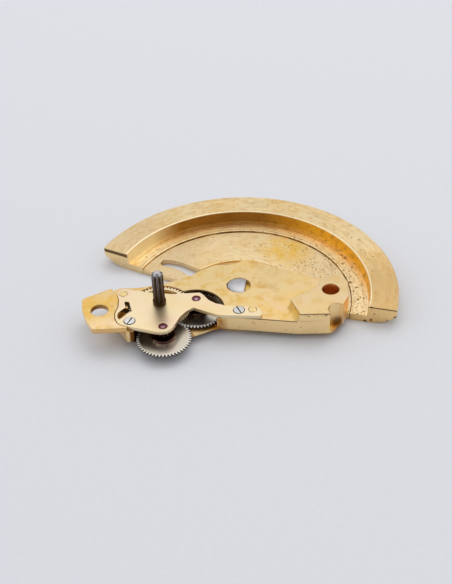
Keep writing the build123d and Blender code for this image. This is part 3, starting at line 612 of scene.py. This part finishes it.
def layFlats(work):
    # level faces are laid again across their outlines, so that each one is whole, with its holes
    for sign in (1, -1):
        levels = {}
        for face in work.faces:
            if face.normal.z * sign > working["levelFill"]:
                height = round(face.calc_center_median().z / mm, working["levelDigits"])
                levels.setdefault(height, []).append(face)
        for faces in levels.values():
            inside = set(faces)
            # a dictionary keeps the edges in the same order on each run, as a set would not
            around = dict.fromkeys(edge for face in faces for edge in face.edges)
            rimEdges = [edge for edge in around if sum(face in inside for face in edge.link_faces) == 1]
            bmesh.ops.delete(work, geom=faces, context="FACES_ONLY")
            bmesh.ops.delete(work, geom=[e for e in work.edges if not e.link_faces], context="EDGES")
            rimEdges = [edge for edge in rimEdges if edge.is_valid]
            bmesh.ops.triangle_fill(work, edges=rimEdges, use_beauty=True, normal=(0, 0, sign))
    bmesh.ops.triangulate(work, faces=[f for f in work.faces if len(f.verts) > 4])


def finishedCopy(node, body, material, width, segments=2, smooth=working["smoothAngle"]):
    # the CAD solid's own shape, with its level edges rounded where a width is given
    work = mergedCopy(node)
    if width:
        breakEdges(work, width, segments)
        layFlats(work)
    mesh = finishMesh(work, node + "Finished", smooth)
    keepPiece(node + "_finished", mesh, body, [node], material)


# rotor

rim = {"footRadius": 10.628, "wallRadius": 10.72, "ledgeRadius": 9.228, "ledgeTop": 0.64, "underWidth": 2.30,
       "edge": 0.75, "bowSteps": 6, "start": -17.2, "end": 151.3, "steps": 168, "round": 0.05,
       "roundSteps": 3, "endRound": 0.03, "endSteps": 2}


def makeRim():
    # turned from its section: a bowed underside, an upright outer wall, a flat top, a steep wall and a ledge
    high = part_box("rotor_rim")[1]
    outer = high.x / mm
    top = high.z / mm
    sideLow = top - rim["edge"]
    under = outer - rim["underWidth"]
    bowRadius = (rim["underWidth"] ** 2 + sideLow ** 2) / (2 * sideLow)
    bowStep = math.asin(rim["underWidth"] / bowRadius) / rim["bowSteps"]
    bow = [(under + bowRadius * math.sin(bowStep * k), bowRadius * (1 - math.cos(bowStep * k)))
           for k in range(rim["bowSteps"])]
    outerEdge, wallEdgeHighlight = (outer, top), (rim["wallRadius"], top)
    ledgeEdge = (rim["ledgeRadius"], rim["ledgeTop"])
    profile = bow + [(outer, sideLow), outerEdge, wallEdgeHighlight, (rim["footRadius"], rim["ledgeTop"]), ledgeEdge,
                     (rim["ledgeRadius"], 0)]
    rounded = (bow[-1], outerEdge, wallEdgeHighlight, ledgeEdge)
    work = bmesh.new()
    corners = [work.verts.new((radius * mm, 0, height * mm)) for radius, height in profile]
    work.faces.new(corners)
    sharp = [corner for corner, point in zip(corners, profile) if point in rounded]
    bmesh.ops.bevel(work, geom=sharp, offset=rim["round"] * mm, segments=rim["roundSteps"], profile=0.5,
                    affect="VERTICES", material=-1)
    bmesh.ops.rotate(work, cent=(0, 0, 0), matrix=Matrix.Rotation(math.radians(rim["start"]), 3, "Z"),
                     verts=work.verts)
    bmesh.ops.spin(work, geom=work.faces[:], cent=(0, 0, 0), axis=(0, 0, 1),
                   angle=math.radians(rim["end"] - rim["start"]), steps=rim["steps"], use_duplicate=False)
    bmesh.ops.remove_doubles(work, verts=work.verts, dist=working["spunMerge"])
    bmesh.ops.recalc_face_normals(work, faces=work.faces)
    ends = dict.fromkeys(edge for face in work.faces if len(face.verts) > 4 for edge in face.edges)
    bmesh.ops.bevel(work, geom=list(ends), offset=rim["endRound"] * mm, segments=rim["endSteps"], profile=0.5,
                    affect="EDGES", material=-1)
    mesh = finishMesh(work, "rotorRimTurned", working["smoothAngle"])
    keepPiece("rotor_rim_turned", mesh, "rotor", ["rotor_rim"], materials["rim"])


makeRim()
finishedCopy("rotor_plate", "rotor", materials["rotor"], width=0.05, segments=3)
finishedCopy("rotor_hub", "rotor", materials["rotor"], width=0.02)
finishedCopy("rotor_gear", "rotor", materials["bridge"], width=0.008, segments=1)
finishedCopy("bearing_outer_race", "rotor", materials["polished"], width=0.02)
print("rotor made")

# bearing and axle

finishedCopy("rotor_axle", "frame", materials["head"], width=0.03, segments=3)
finishedCopy("bearing_spacer", "frame", materials["grained"], width=0.02)
finishedCopy("bearing_inner_race", "frame", materials["polished"], width=0.02)
finishedCopy("bearing_screw", "frame", materials["polished"], width=0.02)
finishedCopy("bearing_cage", "ball_cage", materials["bridge"], width=0.0)
for number in range(1, 6):
    finishedCopy(f"bearing_ball_{number}", "ball_cage", materials["polished"], width=0.0,
                 smooth=60)
print("bearing made")

# frame and bridge

finishedCopy("auto_frame", "frame", materials["frame"], width=0.035)
finishedCopy("train_bridge", "frame", materials["bridge"], width=0.042, segments=3)
for side in ("left", "right"):
    finishedCopy(f"bridge_screw_{side}", "frame", materials["polished"], width=0.03,
                 segments=3)
    finishedCopy(f"steady_pin_{side}", "frame", materials["pin"], width=0.05, segments=3)
for jewel in ("jewel_a_upper", "jewel_b_upper", "jewel_a_lower", "jewel_b_lower", "driving_jewel"):
    finishedCopy(jewel, "frame", materials["ruby"], width=0.02)
print("frame made")

# wheels

for letter, discBody, arborBody in (("a", "reverser_a", "reverser_a"),
                                    ("b", "reverser_b_disc", "reverser_b_arbor")):
    name = f"reverser_{letter}_"
    finishedCopy(name + "wheel", discBody, materials["wheel" + letter.upper()], width=0.012)
    finishedCopy(name + "ring", discBody, materials["ring" + letter.upper()], width=0.015)
    finishedCopy(name + "cover", discBody, materials["cover"], width=0.015)
    finishedCopy(name + "click_1", discBody, materials["grained"], width=0.01, segments=1)
    finishedCopy(name + "click_2", discBody, materials["grained"], width=0.01, segments=1)
    finishedCopy(name + "arbor", arborBody, materials["arbor"], width=0.01, segments=1)
finishedCopy("driving_wheel", "drive", materials["bridge"], width=0.01)
finishedCopy("driving_pinion", "drive", materials["dark"], width=0.03)
print("wheels made")


# floor, light and camera

paper = {"colour": "E7E8EC", "half": 0.6, "rough": 0.7, "specular": 0.2,
         "fibre": {"colour": "DDDEE3", "cloud": (0.4, 3.0), "cut": (0.3, 0.7, 0.0, 0.25)}}


def makeFloor():
    material, tree, place = newMaterial("paperSweep")
    colour = paint(tree, measures(tree, place), fromHex(paper["colour"]), {"fibre": paper["fibre"]})[0]
    finishMaterial(tree, {"Base Color": colour, "Roughness": paper["rough"],
                          "Specular IOR Level": paper["specular"]})
    work = bmesh.new()
    bmesh.ops.create_grid(work, x_segments=1, y_segments=1, size=paper["half"])
    mesh = bpy.data.meshes.new("floor")
    work.to_mesh(mesh)
    work.free()
    mesh.materials.append(material)
    floor = bpy.data.objects.new("floor", mesh)
    bpy.context.scene.collection.objects.link(floor)


room = {"colour": "ECEDF0", "upFrom": (0, 0.45, 0.89), "upReach": (-0.15, 0.85, 0.42, 1.0),
        "frontFrom": (0, -0.94, 0.34), "frontReach": (0.80, 0.97, 1.0, 0.6),
        "backFrom": (0, 0.574, 0.819), "backReach": (0.86, 0.98, 1.0, 0.48),
        "sideReach": (0.5, 0.9, 1.0, 1.6)}


def makeWorld():
    # a pale room, brighter overhead and at both sides. It is darker low down, most of all in front, where the
    # photographer stands, and in a patch high behind.
    world = bpy.data.worlds.new("softRoom")
    world.use_nodes = True
    tree = world.node_tree
    tree.nodes.clear()
    heading = addNode(tree, "ShaderNodeTexCoord").outputs["Generated"]
    across = addNode(tree, "ShaderNodeSeparateXYZ", {0: heading}).outputs["X"]
    facing = {"side": addNode(tree, "ShaderNodeMath", {0: across}, operation="ABSOLUTE").outputs[0]}
    for part in ("up", "front", "back"):
        facing[part] = addNode(tree, "ShaderNodeVectorMath", {0: heading, 1: room[part + "From"]},
                               operation="DOT_PRODUCT").outputs["Value"]
    strength = joined(tree, [zone(tree, {}, {"pattern": facing[part], "cut": room[part + "Reach"]})
                             for part in facing])
    sky = addNode(tree, "ShaderNodeBackground", {"Color": fromHex(room["colour"]), "Strength": strength})
    addNode(tree, "ShaderNodeOutputWorld", {"Surface": sky.outputs[0]})
    bpy.context.scene.world = world


softBox = {"place": (0.04, 0.165, 0.31), "size": (0.30, 0.20), "power": 0.31, "colour": "FFFFFF"}


def makeLamp():
    # one soft panel high behind, turned towards the origin
    lamp = bpy.data.lights.new("topPanel", "AREA")
    lamp.shape = "RECTANGLE"
    lamp.size, lamp.size_y = softBox["size"]
    lamp.energy = softBox["power"]
    lamp.color = fromHex(softBox["colour"])[:3]
    holder = bpy.data.objects.new("topPanel", lamp)
    bpy.context.scene.collection.objects.link(holder)
    spot = Vector(softBox["place"])
    holder.matrix_world = Matrix.Translation(spot) @ (-spot).to_track_quat("-Z", "Y").to_matrix().to_4x4()


view = {"elevation": 39.02, "roll": -2.518, "distance": 97.18, "target": (-1.070, 1.525, -0.04),
        "lens": 71.46, "sensor": 36.0, "clip": (0.002, 5.0)}


def makeCamera():
    tilt = math.radians(view["elevation"])
    back = Vector((0, -math.cos(tilt), math.sin(tilt)))
    right = Vector((1, 0, 0))
    up = back.cross(right)
    turn = Matrix.Rotation(math.radians(view["roll"]), 3, back)
    right, up = turn @ right, turn @ up
    pose = Matrix((right, up, back)).transposed().to_4x4()
    pose.translation = (Vector(view["target"]) + back * view["distance"]) * mm
    data = bpy.data.cameras.new("photoCamera")
    data.sensor_fit = "VERTICAL"
    data.sensor_height = view["sensor"]
    data.lens = view["lens"]
    data.clip_start, data.clip_end = view["clip"]
    camera = bpy.data.objects.new("photoCamera", data)
    bpy.context.scene.collection.objects.link(camera)
    camera.matrix_world = pose
    bpy.context.scene.camera = camera


makeFloor()
makeWorld()
makeLamp()
makeCamera()
bpy.context.scene.view_settings.view_transform = "Standard"
print("stage set")

bpy.context.view_layer.update()
